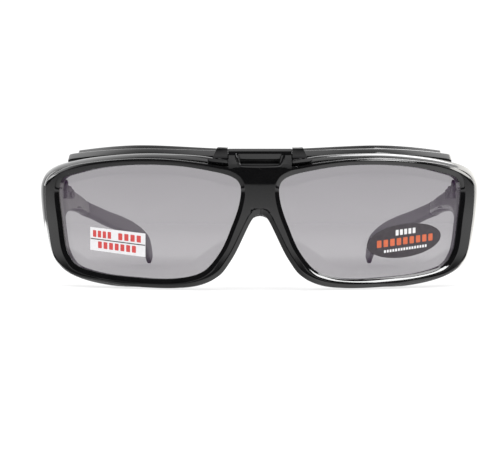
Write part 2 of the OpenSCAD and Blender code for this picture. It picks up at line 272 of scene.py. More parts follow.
def ramp(nodes, links, source, stops, target):
    """A colour ramp from source to target. stops: (position, colour)."""
    r = nodes.new("ShaderNodeValToRGB")
    while len(r.color_ramp.elements) < len(stops):
        r.color_ramp.elements.new(0.5)
    for e, (pos, col) in zip(r.color_ramp.elements, stops):
        e.position = pos
        e.color = (*col, 1)
    links.new(source, r.inputs["Fac"])
    links.new(r.outputs["Color"], target)


def gloss_black():
    """Polished black plastic."""
    m, nodes, links = new_material("gloss_black")
    b = nodes["Principled BSDF"]
    b.inputs["IOR"].default_value = 1.5
    noise = bump_noise(nodes, links, 260, 0.02)
    ramp(nodes, links, noise.outputs["Fac"],
         [(0.3, (0.0035, 0.0035, 0.0038)), (0.7, (0.0048, 0.0047, 0.005))],
         b.inputs["Base Color"])
    ramp(nodes, links, noise.outputs["Fac"],
         [(0.3, (0.05,) * 3), (0.7, (0.075,) * 3)], b.inputs["Roughness"])
    return m


def soft_touch():
    """Matt rubber-like skin of the temples' rear part."""
    m, nodes, links = new_material("soft_touch")
    b = nodes["Principled BSDF"]
    b.inputs["IOR"].default_value = 1.25
    noise = bump_noise(nodes, links, 2600, 0.25, 6)
    ramp(nodes, links, noise.outputs["Fac"],
         [(0.3, (0.012, 0.012, 0.013)), (0.75, (0.02, 0.02, 0.021))],
         b.inputs["Base Color"])
    ramp(nodes, links, noise.outputs["Fac"],
         [(0.3, (0.42,) * 3), (0.7, (0.55,) * 3)], b.inputs["Roughness"])
    return m


def smoke_lens():
    """Tinted lens that lets some of what is behind it through."""
    m, nodes, links = new_material("smoke_lens")
    b = nodes["Principled BSDF"]
    b.inputs["IOR"].default_value = 2.05
    b.inputs["Alpha"].default_value = 0.45
    coords = nodes.new("ShaderNodeTexCoord")
    noise = nodes.new("ShaderNodeTexNoise")
    noise.inputs["Scale"].default_value = 14
    links.new(coords.outputs["Object"], noise.inputs["Vector"])
    ramp(nodes, links, noise.outputs["Fac"],
         [(0.35, (0.033, 0.0125, 0.04)), (0.65, (0.037, 0.016, 0.046))],
         b.inputs["Base Color"])
    ramp(nodes, links, noise.outputs["Fac"],
         [(0.3, (0.02,) * 3), (0.7, (0.035,) * 3)], b.inputs["Roughness"])
    return m


def steel():
    """Dark steel of the hinges."""
    m, nodes, links = new_material("steel")
    b = nodes["Principled BSDF"]
    b.inputs["Metallic"].default_value = 1
    noise = bump_noise(nodes, links, 1800, 0.1, 4)
    ramp(nodes, links, noise.outputs["Fac"],
         [(0.3, (0.012, 0.012, 0.013)), (0.7, (0.022, 0.022, 0.023))], b.inputs["Base Color"])
    ramp(nodes, links, noise.outputs["Fac"],
         [(0.3, (0.3,) * 3), (0.7, (0.4,) * 3)], b.inputs["Roughness"])
    return m


def printed(name, low, high, rough):
    """Paper or ink whose colour runs a little from low to high."""
    m, nodes, links = new_material(name)
    b = nodes["Principled BSDF"]
    noise = bump_noise(nodes, links, 900, 0.05)
    ramp(nodes, links, noise.outputs["Fac"], [(0.3, low), (0.7, high)],
         b.inputs["Base Color"])
    ramp(nodes, links, noise.outputs["Fac"],
         [(0.3, (rough,) * 3), (0.7, (rough + 0.08,) * 3)], b.inputs["Roughness"])
    return m


BLACK = gloss_black()
SOFT = soft_touch()
SMOKE = smoke_lens()
STEEL = steel()
PAPER = printed("label_white", (0.72, 0.715, 0.73), (0.78, 0.775, 0.79), 0.45)
INK = printed("label_dark", (0.035, 0.028, 0.034), (0.05, 0.042, 0.05), 0.35)
RED = printed("print_red", (0.56, 0.05, 0.05), (0.63, 0.07, 0.065), 0.45)
ORANGE = printed("print_orange", (0.56, 0.11, 0.04), (0.63, 0.14, 0.05), 0.4)
WHITE = printed("print_white", (0.72, 0.71, 0.72), (0.8, 0.79, 0.8), 0.4)
LINE = printed("print_black", (0.02, 0.02, 0.02), (0.03, 0.03, 0.03), 0.45)


# ---------------------------------------------------------------------------
# Rims: a ring of cross-sections from a lens opening out to the frame's outline
# ---------------------------------------------------------------------------
def stations(loop, count, turn=6.0):
    """Points along a closed loop, closer together where it turns."""
    fine = closed_curve(loop[::3], 12)
    tangent = np.roll(fine, -1, 0) - np.roll(fine, 1, 0)
    angle = np.unwrap(np.arctan2(tangent[:, 1], tangent[:, 0]))
    for _ in range(20):
        angle = (np.concatenate([[angle[-1] + 2 * math.pi], angle[:-1]]) + 2 * angle
                 + np.concatenate([angle[1:], [angle[0] - 2 * math.pi]])) / 4
    step = np.linalg.norm(np.roll(fine, -1, 0) - fine, axis=1)
    bend = np.abs(np.diff(np.concatenate([angle, [angle[0] - 2 * math.pi]])))
    weight = np.concatenate([[0], np.cumsum(step + turn * bend)])
    at = np.linspace(0, weight[-1], count, endpoint=False)
    index = np.interp(at, weight, np.arange(len(weight)))
    ring = np.vstack([fine, fine[:1]])
    points = np.stack([np.interp(index, np.arange(len(ring)), ring[:, k]) for k in (0, 1)], 1)
    turn_at = np.interp(index, np.arange(len(angle) + 1),
                        np.concatenate([angle, [angle[0] - 2 * math.pi]]))
    normal = np.stack([-np.sin(turn_at), np.cos(turn_at)], 1)
    return points, normal


def reach(points, normals, outline):
    """How far along its normal each point is from a closed outline."""
    a, b = outline, np.roll(outline, -1, 0)
    ab = b - a
    out = []
    for p, n in zip(points, normals):
        den = n[0] * ab[:, 1] - n[1] * ab[:, 0]
        den = np.where(abs(den) < 1e-12, 1e-12, den)
        ap = a - p
        t = (ap[:, 0] * ab[:, 1] - ap[:, 1] * ab[:, 0]) / den
        u = (ap[:, 0] * n[1] - ap[:, 1] * n[0]) / den
        ok = (t > 1e-6) & (u >= -1e-9) & (u <= 1 + 1e-9)
        out.append(t[ok].min())
    return np.array(out)


def rim(outline, opening, front, back, count, lean, near, far, middle=3, walls=4):
    """Half a rim, mirrored. front and back give the set-back of each surface from
    the distances to the opening and the outline; lean tips the walls inwards."""
    half = outline[outline[:, 0] >= -1e-9]
    start = np.argmax(half[:, 1] * (abs(half[:, 0]) < 1e-6))
    half = np.roll(half, -start, 0)
    points, normals = stations(opening, count)
    length = reach(points, normals, half)
    ends = points + normals * length[:, None]
    corners = [half[0], half[-1]] if abs(half[-1][0]) < 1e-6 else [half[0]]
    for corner in corners:
        k = np.argmin(np.linalg.norm(ends - corner, axis=1))
        ends[k] = corner
    middle_line = ends[:, 0] < 1e-4
    ends[middle_line, 0] = 0
    near, far = np.array(near, float), np.array(far, float)
    need = near[-1] + far[-1] + 0.15
    rays = ends - points
    size = np.linalg.norm(rays, axis=1)
    rows = []
    for ray_size in size:
        k = min(1.0, ray_size / need)
        inner, outer = near * k, ray_size - far[::-1] * k
        mid = np.linspace(inner[-1], outer[0], middle + 2)[1:-1]
        rows.append(np.concatenate([inner, mid, outer]) / ray_size)
    rows = np.array(rows)
    n_rows = rows.shape[1]
    flat = points[:, None, :] + rays[:, None, :] * rows[:, :, None]
    xz = flat.reshape(-1, 2)
    to_opening, to_outline = distance(xz, opening), distance(xz, outline)
    s_front = front(xz, to_opening, to_outline).reshape(count, n_rows)
    s_back = back(xz, to_opening, to_outline).reshape(count, n_rows)

    def solid(p, s):
        x = p[..., 0] * (1 - lean * s / WRAP)
        return np.stack([x, wrap_depth(s, x), p[..., 1]], -1)

    sections = [solid(flat, s_front)]
    for w in range(1, walls):
        s = s_front[:, -1] + (s_back[:, -1] - s_front[:, -1]) * w / walls
        sections.append(solid(flat[:, -1], s)[:, None, :])
    outer_rows = n_rows - 1
    sections.append(solid(flat[:, ::-1], s_back[:, ::-1]))
    for w in range(1, walls):
        s = s_back[:, 0] + (s_front[:, 0] - s_back[:, 0]) * w / walls
        sections.append(solid(flat[:, 0], s)[:, None, :])
    ring = np.concatenate(sections, 1)
    m = ring.shape[1]
    verts = ring.reshape(-1, 3)
    faces = []
    for i in range(count):
        j = (i + 1) % count
        for r in range(m):
            q = (r + 1) % m
            if middle_line[i] and middle_line[j] and outer_rows <= r < outer_rows + walls:
                continue
            faces.append((i * m + r, j * m + r, j * m + q, i * m + q))
    mirrored = verts * np.array([-1, 1, 1])
    n = len(verts)
    faces += [tuple(n + v for v in reversed(f)) for f in faces]
    return place(np.vstack([verts, mirrored])), faces


# Set-backs of the rims' surfaces. p: points in X and height, a: their distance to the
# opening, o: their distance to the outline.
def flip_front(p, a, o):
    """The lens frame's face: a chamfer down to the lens, wider and more hollow along the
    bottom, a flat, and a shallower chamfer that is narrower at the lower outer corner and
    fades out at the sides and under the barrel block, with a tight radius at the
    outline. The bridge leans back a little above its middle."""
    x, z = np.abs(p[:, 0]), p[:, 1]
    bottom = smooth(z, 9, 6)
    sides = smooth(x, 60, 67) * smooth(z, 6, 11) * smooth(z, 39, 34)
    block = smooth(x, 12.5, 10.5) * smooth(z, 34, 36)
    corner = smooth(x, 34, 50) * smooth(z, 16, 10)
    s = 0.2 + 0.95 * (1 - fraction(a, 0, 1.35 + 0.25 * bottom)) ** (1.2 + 0.4 * bottom)
    wide = 1.2 - 0.6 * corner
    s = s + 0.54 * wide * (1 - fraction(o / wide, 0, 1)) ** 1.1 * (1 - sides) * (1 - block)
    s = s + 0.03 * np.maximum(z - 33, 0) * smooth(x, 13, 8) * smooth(z, 33, 35)
    return s + 0.35 * (1 - np.sqrt(1 - (1 - fraction(o, 0, 0.3)) ** 2))


def flip_back(p, a, o):
    """The lens frame's back, with a softened edge all round."""
    return FRONT_THICK - 0.5 * (1 - fraction(np.minimum(a, o), 0, 0.5)) ** 2


def base_face(p, a, o):
    """The base frame's front: flat behind the lens frame, flaring back to its outline."""
    flare_width, flare_depth, roundness = 2.3, 3.3, 0.55
    t = 1 - fraction(o, 0, flare_width)
    curve = roundness * (1 - np.sqrt(1 - t ** 2.1)) + (1 - roundness) * t
    return BASE_FRONT + flare_depth * curve


def base_back(p, a, o):
    """The base frame's back, with a softened edge, and the nose wings that reach back."""
    wing_reach = 9.6
    x, z = np.abs(p[:, 0]), p[:, 1]
    s = BASE_REAR - 0.6 * (1 - fraction(np.minimum(a, o), 0, 0.6)) ** 2
    wing = smooth(o, 2.6, 1.6) * smooth(x, 14, 11) * smooth(z, 2.2, 7) * smooth(z, 29, 24)
    return s + wing_reach * wing


def build_rims():
    """The lens frame's rim and the base frame's rim."""
    # near and far: where each section has points, from the opening and from the outline
    near = [0, 0.06, 0.3, 0.6, 0.9, 1.15, 1.3, 1.4, 1.5, 1.65]
    far = [0, 0.04, 0.1, 0.19, 0.3, 0.5, 0.8, 1.0, 1.15, 1.3]
    verts, faces = rim(FRONT_LOOP, LENS_LOOP, flip_front, flip_back, 300, 0.6, near, far)
    make_object("flip_rim", verts, faces, "flip", BLACK, "flip_frame", 60)
    far = [0, 0.06, 0.2, 0.45, 0.8, 1.2, 1.7, 2.3]
    near = [0, 0.3, 0.7]
    opening = grow(LENS_LOOP, 1.0)
    verts, faces = rim(BASE_LOOP, opening, base_face, base_back, 280, 0.0, near, far, 5)
    verts[:, 2] = np.maximum(verts[:, 2], 0)
    base = make_object("base_rim", verts, faces, "base", BLACK, "base_frame", 50)
    # The pocket above the bridge, where the barrel block turns
    half, floor, top, back = 10.1, 37.6, 60, 7.7
    pocket = rounded([(-half, floor), (half, floor), (half, top), (-half, top)], 0.5)
    cut(base, plain_object("pocket_tool", prism(pocket, -5, back, along_y)))
    shade(base.data, 50)


# ---------------------------------------------------------------------------
# Extrusions and sweeps
# ---------------------------------------------------------------------------
def rounded(points, radius, n=5):
    """A closed outline with its corners rounded. radius is one number or one for each."""
    p = np.array(points, float)
    m = len(p)
    radii = [radius] * m if isinstance(radius, (int, float)) else radius
    out = []
    for i in range(m):
        a, b, c = p[i - 1], p[i], p[(i + 1) % m]
        u, v = a - b, c - b
        lu, lv = np.linalg.norm(u), np.linalg.norm(v)
        k = min(radii[i], lu * 0.45, lv * 0.45)
        s, e = b + u / lu * k, b + v / lv * k
        for j in range(n + 1):
            t = j / n
            out.append((1 - t) ** 2 * s + 2 * t * (1 - t) * b + t * t * e)
    return np.array(out)


def loft(loops):
    """Skins a stack of equal loops, with both ends closed by fans."""
    n = len(loops[0])
    verts = np.vstack(loops + [loops[0].mean(0)[None], loops[-1].mean(0)[None]])
    faces = []
    for k in range(len(loops) - 1):
        for i in range(n):
            j = (i + 1) % n
            faces.append((k * n + i, k * n + j, (k + 1) * n + j, (k + 1) * n + i))
    first, last = len(verts) - 2, len(verts) - 1
    top = (len(loops) - 1) * n
    for i in range(n):
        j = (i + 1) % n
        faces.append((first, j, i))
        faces.append((last, top + i, top + j))
    return verts, faces


def merge(parts):
    """Several parts as one."""
    verts, faces, n = [], [], 0
    for v, f in parts:
        verts.append(np.asarray(v, float))
        faces += [tuple(n + i for i in face) for face in f]
        n += len(v)
    return np.vstack(verts), faces


def mirror_part(part):
    """The part mirrored from the left side to the right."""
    v, f = part
    return np.asarray(v) * np.array([-1, 1, 1]), [tuple(reversed(face)) for face in f]


def along_x(uv, w):
    """Outline in depth and height, pushed along X."""
    return np.stack([np.full(len(uv), w), uv[:, 0], uv[:, 1]], 1)


def along_y(uv, w):
    """Outline in X and height, pushed back."""
    return np.stack([uv[:, 0], np.full(len(uv), w), uv[:, 1]], 1)


def cut(target, tool):
    """Cuts one mesh object from another for good, and removes the tool."""
    mod = target.modifiers.new("cut", "BOOLEAN")
    mod.operation, mod.solver, mod.object = "DIFFERENCE", "EXACT", tool
    apply_modifiers(target)
    bpy.data.objects.remove(tool)


def apply_modifiers(obj):
    """Turns the object's modifiers into its mesh."""
    bpy.context.view_layer.update()
    graph = bpy.context.evaluated_depsgraph_get()
    mesh = bpy.data.meshes.new_from_object(obj.evaluated_get(graph))
    obj.modifiers.clear()
    obj.data = mesh


def plain_object(name, part):
    """A part in design millimetres as an object without looks."""
    mesh = bpy.data.meshes.new(name)
    mesh.from_pydata([tuple(v) for v in place(part[0])], [], part[1])
    mesh.validate()
    obj = bpy.data.objects.new(name, mesh)
    bpy.context.scene.collection.objects.link(obj)
    bm = bmesh.new()
    bm.from_mesh(mesh)
    bmesh.ops.recalc_face_normals(bm, faces=bm.faces)
    bm.to_mesh(mesh)
    bm.free()
    return obj


def bevel(obj, width, segments, angle):
    """Bevels the edges that are sharper than the angle. The width is in millimetres."""
    mod = obj.modifiers.new("bevel", "BEVEL")
    mod.width, mod.segments, mod.limit_method = width * 0.001, segments, "ANGLE"
    mod.angle_limit = math.radians(angle)
    apply_modifiers(obj)


def finish_piece(obj, body, material):
    """Material, body and slot for a beveled piece whose big faces are to look flat."""
    obj.data.materials.clear()
    obj.data.materials.append(material)
    shade(obj.data, 35)
    mod = obj.modifiers.new("flat_faces", "WEIGHTED_NORMAL")
    mod.weight, mod.keep_sharp = 100, True
    apply_modifiers(obj)
    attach(obj, body)


def prism(outline, low, high, to_point):
    """An outline pushed from low to high. to_point is along_x or along_y."""
    n = len(outline)
    verts = np.vstack([to_point(outline, low), to_point(outline, high)])
    faces = [(i, (i + 1) % n, n + (i + 1) % n, n + i) for i in range(n)]
    return verts, faces + [tuple(reversed(range(n))), tuple(range(n, 2 * n))]


# ---------------------------------------------------------------------------
# Flip hinge: the block on the lens frame and the two ears on the base frame
# ---------------------------------------------------------------------------
def build_block():
    """The barrel block above the bridge, with its recess."""
    back = PIN_BACK + 1.1
    lower = [(FACE, 39.6), (FACE, 38.2), (back, 38.0), (back, 40.6)]
    arc = [(PIN_BACK + BARREL_R * math.cos(math.radians(a)),
            PIN_Z + BARREL_R * math.sin(math.radians(a))) for a in range(-40, 181, 10)]
    outline = np.array(lower + arc)
    block = plain_object("flip_block", prism(outline, -BARREL_HALF, BARREL_HALF, along_x))
    # The recess: a wall that slopes back as it goes down, over a deep slot, between
    # slanting ends
    hollow = np.array([(-1, 42.8), (0.75, 42.8), (1.75, 41.1), (3.4, 41.1), (3.4, 39.95),
                       (1.2, 39.7), (-1, 39.7)])
    tool = plain_object("recess_tool", prism(hollow, -RECESS_HALF, RECESS_HALF, along_x))
    for side in (-1, 1):
        end = np.array([(side * x, z) for x, z in ((RECESS_HALF, 43.4), (6.1, 39.6), (8, 39.6),
                                                   (8, 43.4))])
        cut(tool, plain_object("end_tool", prism(end, -2, 5, along_y)))
    cut(block, tool)
    bevel(block, 0.16, 3, 28)
    finish_piece(block, "flip", BLACK)
    # The raised lip round the recess
    path = [(7.75, 43.0), (7.45, 41.6), (7.0, 40.2), (6.3, 39.25), (5.0, 38.95)]
    path = [(-x, z) for x, z in path] + [(0, 38.85)] + path[::-1]
    line = open_curve(path, 5)
    loops = []
    for k, (x, z) in enumerate(line):
        t = line[min(k + 1, len(line) - 1)] - line[max(k - 1, 0)]
        t = t / np.linalg.norm(t)
        fade = min(1.0, k / 6, (len(line) - 1 - k) / 6)
        r = 0.18 + 0.27 * fade
        section = []
        for a in np.arange(12) / 12 * 2 * math.pi:
            off = r * math.cos(a)
            section.append((x - t[1] * off, 0.52 - 0.32 * fade * math.sin(a), z + t[0] * off))
        loops.append(np.array(section))
    verts, faces = loft(loops)
    make_object("recess_lip", place(verts), faces, "flip", BLACK)


def build_ears():
    """The two ears that hold the hinge pin."""
    profile = np.array([(FACE - 0.01, PIN_Z), (FACE, EAR_LOW), (9.6, EAR_LOW), (9.8, EAR_HIGH),
                        (1.6, EAR_HIGH), (FACE - 0.08, 44.5)])
    slant = np.array([(15.0, 41.3), (13.35, 45.0), (13.3, 60), (30, 60), (30, 30), (15.3, 38.0)])
    for s, name in ((1, "ear_left"), (-1, "ear_right")):
        ear = plain_object(name, prism(profile, EAR_INNER, EAR_OUTER, along_x))
        cut(ear, plain_object("ear_tool", prism(slant, -5, 30, along_y)))
        bevel(ear, 0.34, 1, 40)
        # The foot runs round the pin and thins towards the side
        rings = []
        for x, r in ((EAR_INNER, 2.98), (10.2, 3.12), (10.35, 3.2), (12, 2.95), (14, 2.65),
                     (15.5, 2.42), (16.2, 2.2), (16.5, 1.95)):
            turns = np.linspace(math.asin(0.9 / r), math.radians(105), 16)
            depth = np.maximum(PIN_BACK - r * np.cos(turns), FACE)
            height = PIN_Z - r * np.sin(turns)
            depth, height = np.append(depth, [8.5, 8.5]), np.append(height, [height[-1], 41.4])
            rings.append(np.stack([np.full(len(depth), x), depth, height], 1))
        foot = plain_object(name + "_foot", loft(rings) if s > 0 else mirror_part(loft(rings)))
        finish_piece(foot, "base", BLACK)
        if s < 0:
            # Mirrored across the middle
            ear.data.transform(((-1, 0, 0, 0), (0, 1, 0, 0), (0, 0, 1, 0), (0, 0, 0, 1)))
            ear.data.flip_normals()
        finish_piece(ear, "base", BLACK)


# ---------------------------------------------------------------------------
# Brow shelf and end pieces
# ---------------------------------------------------------------------------
def brow_part(edge, section):
    """A shelf that follows the wrap. The section, in set-back and height from the
    shelf's top edge, is swept from side to side with softened ends."""
    top = open_curve(edge, 8)
    xs = np.concatenate([-top[::-1, 0], top[1:, 0]])
    zs = np.concatenate([top[::-1, 1], top[1:, 1]])
    section = rounded(section, [0.25, 0.35, 0.6, 0.5, 0.4], 4)
    mid = section.mean(0)
    reach_x = xs[-1]
    # How far from the end, and how much of the section's size is left there
    ends = [(0.0, 0.6), (0.12, 0.82), (0.3, 0.94), (0.55, 1.0), (0.62, 1.0), (0.9, 1.0)]
    stops = [(-reach_x + d, k) for d, k in ends]
    stops += [(x, 1.0) for x in xs[2:-2]]
    stops += [(reach_x - d, k) for d, k in reversed(ends)]
    loops = []
    for x, shrink in stops:
        sec = mid + (section - mid) * shrink
        z = np.interp(x, xs, zs) + sec[:, 1]
        loops.append(np.stack([np.full(len(sec), x), wrap_depth(sec[:, 0], x), z], 1))
    return loft(loops)


def build_brow():
    """The two steps of the brow shelf."""
    low = brow_part(BROW_LOW, [(8.7, -2.1), (10.5, 0), (12.8, 0), (12.8, -3.2), (8.7, -3.2)])
    high = brow_part(BROW_HIGH, [(12.55, -2.35), (14.4, 0), (18, -0.2), (18, -2.6), (12.55, -2.6)])
    for name, (verts, faces) in (("brow_lower", low), ("brow_upper", high)):
        make_object(name, place(verts), faces, "base", BLACK, smooth_angle=30)


def build_end_pieces():
    """The solid corners behind the rim that carry the temple hinges."""
    inner, bottom, top = HINGE_HALF + 0.7, 14.6, 38.2
    x, z = BASE_LOOP.T
    arc = BASE_LOOP[(x > inner) & (z > bottom) & (z < top)]
    arc = arc[np.argsort(-arc[:, 1])]
    outline = np.vstack([[(inner, top)], arc[::2], [(inner, bottom)]])
    verts, faces = prism(outline, 0, JOINT_BACK - 0.1, along_y)
    count = len(outline)
    verts[:count, 1] = wrap_depth(8.2, outline[:, 0])
    part = verts, faces
    for s, name in ((1, "end_piece_left"), (-1, "end_piece_right")):
        verts, faces = part if s > 0 else mirror_part(part)
        obj = plain_object(name, (verts, faces))
        bevel(obj, 0.35, 3, 35)
        finish_piece(obj, "base", BLACK)


# ---------------------------------------------------------------------------
# Temples
# ---------------------------------------------------------------------------
def temple_sections(low, high, proud=0.0):
    """Rounded sections of the left temple between two depths."""
    rows = open_curve(TEMPLE, 6)
    rows = rows[(rows[:, 0] >= low - 1e-6) & (rows[:, 0] <= high + 1e-6)]
    inner, outer = open_curve(TEMPLE_INNER, 12), open_curve(TEMPLE_OUTER, 12)
    loops = []
    n = 28
    for td, tz, bd, bz in rows:
        mid_d = (td + bd) / 2
        # The tip grows a little thinner
        slim = 0.45 * smooth(mid_d, 149, 158.5)
        xi = np.interp(mid_d, inner[:, 0], inner[:, 1]) - proud + slim
        xo = np.interp(mid_d, outer[:, 0], outer[:, 1]) + proud - slim
        up = np.array([td - bd, tz - bz])
        height = np.linalg.norm(up)
        up = up / height
        half_w, half_h = (xo - xi) / 2, height / 2 + proud
        r = min(1.5, half_w * 0.8)
        loop = []
        for k in range(n):
            a = 2 * math.pi * (k + 0.5) / n
            cx, cy = math.cos(a), math.sin(a)
            px = math.copysign(half_w - r, cx) + r * cx
            py = math.copysign(half_h - r, cy) + r * cy
            loop.append((px, py))
        loop = np.array(loop)
        d = mid_d + up[0] * loop[:, 1]
        z = (tz + bz) / 2 + up[1] * loop[:, 1]
        slope = np.interp(d, (inner[:, 0] + outer[:, 0]) / 2, (inner[:, 1] + outer[:, 1]) / 2)
        loops.append(np.stack([slope + loop[:, 0], d, z], 1))
    return loops


def build_temples():
    """Each temple's core and its softer rear sleeve."""
    core = temple_sections(JOINT_BACK + 0.2, SLEEVE_BACK + 1.0)
    first = core[0].copy()
    centre = first.mean(0)
    lip = centre + (first - centre) * np.array([0.9, 1, 0.97])
    core[0] = first + np.array([0, 0.3, 0])
    core = [lip] + core
    sleeve = temple_sections(SLEEVE_BACK, DEPTH, 0.12)
    front = sleeve[0]
    centre = front.mean(0)
    sleeve = [centre + (front - centre) * np.array([0.86, 1, 0.93]),
              centre + (front - centre) * np.array([0.96, 1, 0.98]) + (0, 0.06, 0)] \
        + [front + (0, 0.25, 0)] + sleeve[1:]
    # The tip is rounded off by shrinking the last section along its own run
    end, before = sleeve[-1], sleeve[-2]
    run = end.mean(0) - before.mean(0)
    run = run / np.linalg.norm(run)
    centre = end.mean(0)
    for k in range(1, 7):
        t = math.pi / 2 * k / 6.5
        sleeve.append(centre + (end - centre) * math.cos(t) + run * 1.5 * math.sin(t))
    for side, name in ((1, "left"), (-1, "right")):
        for part, loops, slot, material in (("temple", core, "gloss_black", BLACK),
                                            ("temple_sleeve", sleeve, "soft_touch", SOFT)):
            piece = loft(loops)
            if side < 0:
                piece = mirror_part(piece)
            verts = place(piece[0])
            verts[:, 2] = np.maximum(verts[:, 2], 0)
            make_object(f"{part}_{name}_skin", verts, piece[1], f"temple_{name}",
                        material, f"{part}_{name}", 50)


# ---------------------------------------------------------------------------
# Lenses and labels
# ---------------------------------------------------------------------------
def wrapped_sheet(loop, s_front, s_back, rings=10, edge=0.12):
    """A closed sheet with the wrap's curve and the given outline."""
    centre = loop.mean(0)
    loops = []
    shares = np.linspace(0.06, 1, rings)
    for s, order in ((s_front, shares), (s_back, shares[::-1])):
        for f in order:
            ring = centre + (loop - centre) * f
            depth = s if f < 1 else s + (edge if s == s_front else -edge)
            loops.append(np.stack([ring[:, 0], wrap_depth(depth, ring[:, 0]), ring[:, 1]], 1))
    verts, faces = loft(loops)
    for k, s in ((-2, s_front), (-1, s_back)):
        verts[k] = (centre[0], wrap_depth(s, centre[0]), centre[1])
    return verts, faces


def label_sheet(outline, centre, tilt, s_front, s_back):
    """A thin sheet on the lens. It leans: its level lines slope, its sides stay upright."""
    turned = np.array(outline, float) @ np.array([[1, math.tan(math.radians(tilt))], [0, 1]])
    return wrapped_sheet(turned + np.array(centre), s_front, s_back, rings=8, edge=0.0)


def box_outline(x, z, w, h, r=0.15):
    """A box with rounded corners, with points every millimetre so that it can wrap."""
    p = rounded([(x - w / 2, z - h / 2), (x + w / 2, z - h / 2),
                 (x + w / 2, z + h / 2), (x - w / 2, z + h / 2)], r, 3)
    out = []
    for a, b in zip(p, np.roll(p, -1, 0)):
        k = max(1, int(np.linalg.norm(b - a) / 1.0))
        out += [a + (b - a) * j / k for j in range(k)]
    return np.array(out)


def build_lenses():
    """The two tinted lenses."""
    for side, name in ((1, "left"), (-1, "right")):
        part = wrapped_sheet(grow(LENS_LOOP, GROOVE), LENS_FRONT, LENS_REAR)
        if side < 0:
            part = mirror_part(part)
        make_object(f"lens_{name}_pane", place(part[0]), part[1], "flip",
                    SMOKE, f"lens_{name}", 50)


def dashes(x, z, width, height, count):
    """A row of plain upright dashes: centre, width and height of each."""
    pitch = width / count
    return [(x - width / 2 + pitch * (k + 0.5), z, pitch * 0.68, height) for k in range(count)]


def print_marks(name, marks, corner, at, tilt, material, s_front=PRINT_FRONT):
    """Marks printed on a label, as one piece. marks: centre, width and height of each."""
    verts, faces = merge([label_sheet(box_outline(x, z, w, h, corner), at, tilt, s_front,
                                      PRINT_REAR) for x, z, w, h in marks])
    make_object(name, place(verts), faces, "flip", material)


def build_labels():
    """The two stickers, with plain dashes in place of their print."""
    # White label: two rows of plain dashes with a rule between them
    at, tilt = (-46.35, 15.0), -6.4
    sheet = label_sheet(box_outline(0, 0, 19.2, 7.55), at, tilt, LABEL_FRONT, LABEL_REAR)
    make_object("label_white_sheet", place(sheet[0]), sheet[1], "flip",
                PAPER, "label_right")
    row, tall = 1.75, 2.2
    marks = dashes(-5.4, row, 7.0, tall, 4) + dashes(4.2, row, 8.4, tall, 4)
    marks += dashes(-0.2, -row, 13.8, tall, 7)
    print_marks("label_red_bars", marks, 0.2, at, tilt, RED)
    print_marks("label_rule", [(0, 0, 19.0, 0.28)], 0.05, at, tilt, LINE,
                PRINT_FRONT - 0.01)
    # Dark oval label: a short row, a long row and a fine row
    at, tilt = (47.2, 15.4), 7
    angle = np.arange(72) / 72 * 2 * math.pi
    oval = np.stack([12.9 * np.cos(angle), 5.4 * np.sin(angle)], 1)
    sheet = label_sheet(oval, at, tilt, LABEL_FRONT, LABEL_REAR)
    make_object("label_dark_sheet", place(sheet[0]), sheet[1], "flip",
                INK, "label_left")
    marks = dashes(0.1, -0.05, 20.2, 2.3, 9)
    print_marks("label_orange_bars", marks, 0.25, at, tilt, ORANGE)
    marks = dashes(0.2, 2.9, 7.4, 1.8, 5) + dashes(0.2, -2.65, 15.2, 0.9, 16)
    print_marks("label_white_bars", marks, 0.15, at, tilt, WHITE)


# ---------------------------------------------------------------------------
# Studio
# ---------------------------------------------------------------------------
CARD_AWAY = 2.0
BRIGHTEST = 4


def card(name, azimuths, elevations, strengths, colour=(1, 1, 1)):
    """A glowing card that only reflections see. Its place is given in degrees round
    the glasses: azimuth 0 is in front of them, 90 is to +X, and elevation is from level.
    Its strength runs from the first value to the second across the azimuths."""
    mesh = bpy.data.meshes.new(name)
    rows, columns = 8, 16
    verts, glows = [], []
    for j in range(rows + 1):
        el = math.radians(elevations[0] + (elevations[1] - elevations[0]) * j / rows)
        for i in range(columns + 1):
            az = math.radians(azimuths[0] + (azimuths[1] - azimuths[0]) * i / columns)
            verts.append((CARD_AWAY * math.cos(el) * math.sin(az),
                          -CARD_AWAY * math.cos(el) * math.cos(az), CARD_AWAY * math.sin(el)))
            level = strengths[0] + (strengths[1] - strengths[0]) * i / columns
            glows += [level * c for c in colour] + [1.0]
    wide = columns + 1
    faces = [(j * wide + i, j * wide + i + 1, (j + 1) * wide + i + 1, (j + 1) * wide + i)
             for j in range(rows) for i in range(columns)]
    mesh.from_pydata(verts, [], faces)
    mesh.color_attributes.new("glow", "FLOAT_COLOR", "POINT").data.foreach_set("color", glows)
    obj = bpy.data.objects.new(name, mesh)
    bpy.context.scene.collection.objects.link(obj)
    m, nodes, links = new_material(name)
    nodes.remove(nodes["Principled BSDF"])
    glow = nodes.new("ShaderNodeEmission")
    level = nodes.new("ShaderNodeVertexColor")
    level.layer_name = "glow"
    links.new(level.outputs["Color"], glow.inputs["Color"])
    links.new(glow.outputs["Emission"], nodes["Material Output"].inputs["Surface"])
    mesh.materials.append(m)
    reflections_only(obj)


def reflections_only(obj):
    """Hides a stage object from everything but reflections."""
    obj.visible_camera = False
    obj.visible_diffuse = False
    obj.visible_transmission = False
    obj.visible_shadow = False
    obj.visible_volume_scatter = False


def level_ramp(nodes, links, height, stops):
    """Brightness by elevation. stops: (degrees, brightness up to BRIGHTEST)."""
    r = nodes.new("ShaderNodeValToRGB")
    while len(r.color_ramp.elements) < len(stops):
        r.color_ramp.elements.new(0.5)
    for e, (deg, value) in zip(r.color_ramp.elements, stops):
        e.position = 0.5 + 0.5 * math.sin(math.radians(deg))
        e.color = (*[value / BRIGHTEST] * 3, 1)
    links.new(height, r.inputs["Fac"])
    return r.outputs["Color"]


